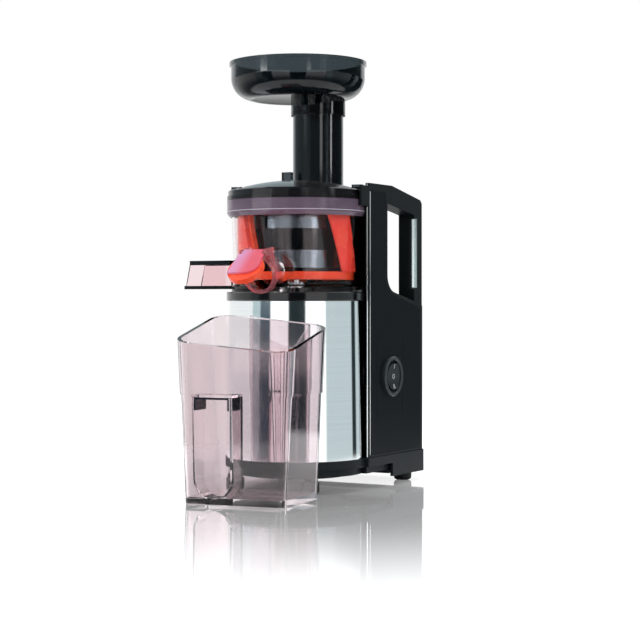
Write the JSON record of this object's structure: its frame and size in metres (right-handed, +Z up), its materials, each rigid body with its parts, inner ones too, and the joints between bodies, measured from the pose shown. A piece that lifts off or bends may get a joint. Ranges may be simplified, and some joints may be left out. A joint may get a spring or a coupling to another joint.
{
  "type": "cold press juicer",
  "caption": "Upright cold press juicer with steel column, clear juicing bowl, auger, strainer, spinning brush, feed tube and tray, hinged spout cap, twin rear grips and a loose jug.",
  "frame": {"origin": "on the counter plane, on the axis of the bowl and drive shaft", "axes": "+Z up; -Y towards the juice spout and jug; +X towards the side with the switch; -X towards the pulp outlet"},
  "size_m": [0.206, 0.3208, 0.424],
  "materials": {
    "satin_black": "satin",
    "panel_black": "satin",
    "gloss_black": "gloss",
    "foot_rubber": "matt",
    "steel": "brushed",
    "zinc": "satin",
    "nylon": "satin",
    "copper": "varnished",
    "board": "satin",
    "clear": "clear",
    "smoke": "clear tinted",
    "plum": "clear tinted",
    "silicone": "satin",
    "grip": "gloss"
  },
  "bodies": {
    "housing": {"base": "satin_black", "bottom_cover": "satin_black", "rubber_feet": "foot_rubber", "cover_screws": "zinc", "column_housing": "satin_black", "steel_wrap": "steel", "platform": "gloss_black", "rear_shell_right": "satin_black", "rear_shell_left": "satin_black", "shell_screws": "zinc", "side_panel_right": "panel_black", "side_panel_left": "panel_black", "switch_plate": "panel_black", "switch_bezel": "gloss_black", "switch_body": "gloss_black", "control_board": "board", "cord_grommet": "foot_rubber", "motor_stator": "zinc", "motor_coils": "copper", "motor_bracket_top": "zinc", "motor_bracket_bottom": "zinc", "gearbox_case": "zinc", "gearbox_cover": "zinc", "gearbox_screws": "zinc", "lay_pin": "steel", "shaft_bearings": "steel", "shaft_seal": "foot_rubber"},
    "rocker": {"switch_rocker": "gloss_black"},
    "motor": {"motor_rotor": "zinc"},
    "lay": {"lay_gear": "nylon"},
    "drive": {"output_gear": "nylon", "drive_shaft": "steel"},
    "bowl": {"bowl": "clear", "bowl_seal": "silicone", "idler_pin": "steel", "pulp_floor": "gloss_black", "pulp_roof": "gloss_black", "cap_pin": "steel", "strainer_frame": "gloss_black", "strainer_mesh": "steel"},
    "idler": {"idler_gear": "nylon"},
    "cap": {"juice_cap": "clear", "cap_plug": "silicone"},
    "brush": {"brush_frame": "silicone", "brush_wipers": "silicone"},
    "auger": {"auger": "gloss_black", "auger_socket": "steel"},
    "lid": {"lid": "smoke", "lid_rim": "gloss_black", "lid_collar": "plum", "lid_gasket": "silicone"},
    "tray": {"tray": "smoke"},
    "jug": {"jug": "clear", "jug_grip": "grip"}
  },
  "joints": [
    {"name": "drive_spin", "type": "hinge", "parent": "housing", "child": "drive", "pos_m": [0, 0, 0.17], "axis": [0, 0, 1], "continuous": true},
    {"name": "lay_spin", "type": "hinge", "parent": "housing", "child": "lay", "pos_m": [0, 0.045, 0.155], "axis": [0, 0, 1], "continuous": true},
    {"name": "motor_spin", "type": "hinge", "parent": "housing", "child": "motor", "pos_m": [0, 0.08, 0.12], "axis": [0, 0, 1], "continuous": true},
    {"name": "bowl_lift", "type": "slide", "parent": "housing", "child": "bowl", "axis": [0, 0, 1], "range_m": [0, 0.12]},
    {"name": "auger_spin", "type": "hinge", "parent": "bowl", "child": "auger", "pos_m": [0, 0, 0.24], "axis": [0, 0, 1], "continuous": true},
    {"name": "idler_spin", "type": "hinge", "parent": "bowl", "child": "idler", "pos_m": [0.01575, -0.02728, 0.21], "axis": [0, 0, 1], "continuous": true},
    {"name": "brush_spin", "type": "hinge", "parent": "bowl", "child": "brush", "pos_m": [0, 0, 0.24], "axis": [0, 0, 1], "continuous": true},
    {"name": "cap_hinge", "type": "hinge", "parent": "bowl", "child": "cap", "pos_m": [0.003, -0.08674, 0.23187], "axis": [-1, 0, 0], "range_deg": [-57, 65]},
    {"name": "lid_lift", "type": "slide", "parent": "bowl", "child": "lid", "axis": [0, 0, 1], "range_m": [0, 0.1]},
    {"name": "tray_lift", "type": "slide", "parent": "lid", "child": "tray", "axis": [0, 0, 1], "range_m": [0, 0.05]},
    {"name": "rocker_tilt", "type": "hinge", "parent": "housing", "child": "rocker", "pos_m": [0.07, 0.062, 0.11], "axis": [0, 1, 0], "range_deg": [-9, 9]},
    {"name": "jug_slide", "type": "slide", "parent": "housing", "child": "jug", "axis": [0, -1, 0], "range_m": [0, 0.15]}
  ],
  "couplings": [
    {"joint": "lay_spin", "follows": "drive_spin", "ratio": -5},
    {"joint": "motor_spin", "follows": "drive_spin", "ratio": 20},
    {"joint": "auger_spin", "follows": "drive_spin", "ratio": 1},
    {"joint": "idler_spin", "follows": "drive_spin", "ratio": -1.1},
    {"joint": "brush_spin", "follows": "drive_spin", "ratio": -0.35484}
  ]
}
